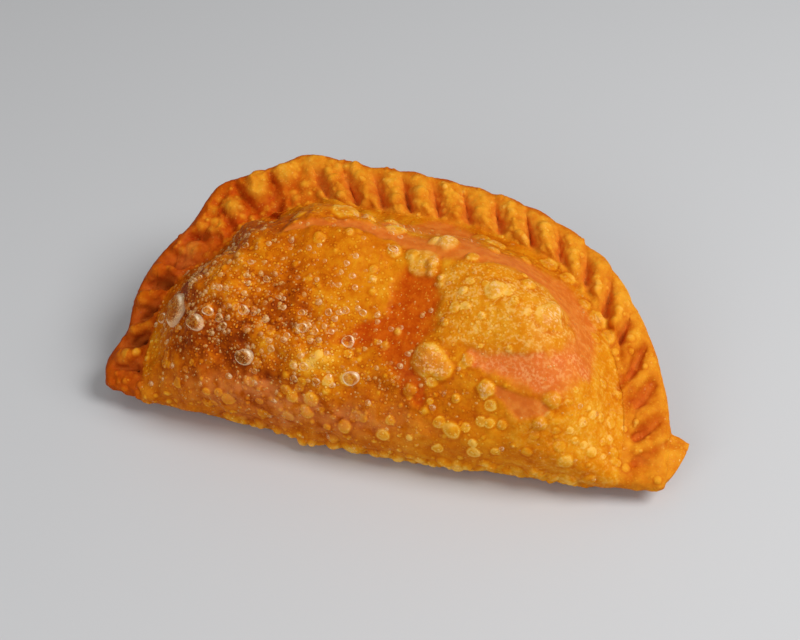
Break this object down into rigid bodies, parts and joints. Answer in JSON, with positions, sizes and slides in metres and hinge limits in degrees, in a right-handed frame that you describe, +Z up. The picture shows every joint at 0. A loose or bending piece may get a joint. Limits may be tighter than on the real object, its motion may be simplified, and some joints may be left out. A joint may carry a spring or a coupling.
{
  "type": "empanada",
  "caption": "Deep-fried half-moon turnover with a rounded fold in front and a slanted rope-crimped rim, lying on its settled underside.",
  "frame": {"origin": "centre of the bounding box, at the surface it lies on", "axes": "+X along the fold from the left tip to the right one, +Y from the fold to the back of the rim, +Z up"},
  "size_m": [0.1622, 0.0792, 0.0501],
  "materials": {
    "crust": "fried dough, golden orange with paler blisters, a thin film of oil"
  },
  "bodies": {
    "root": {"empanada": "crust"}
  },
  "joints": []
}
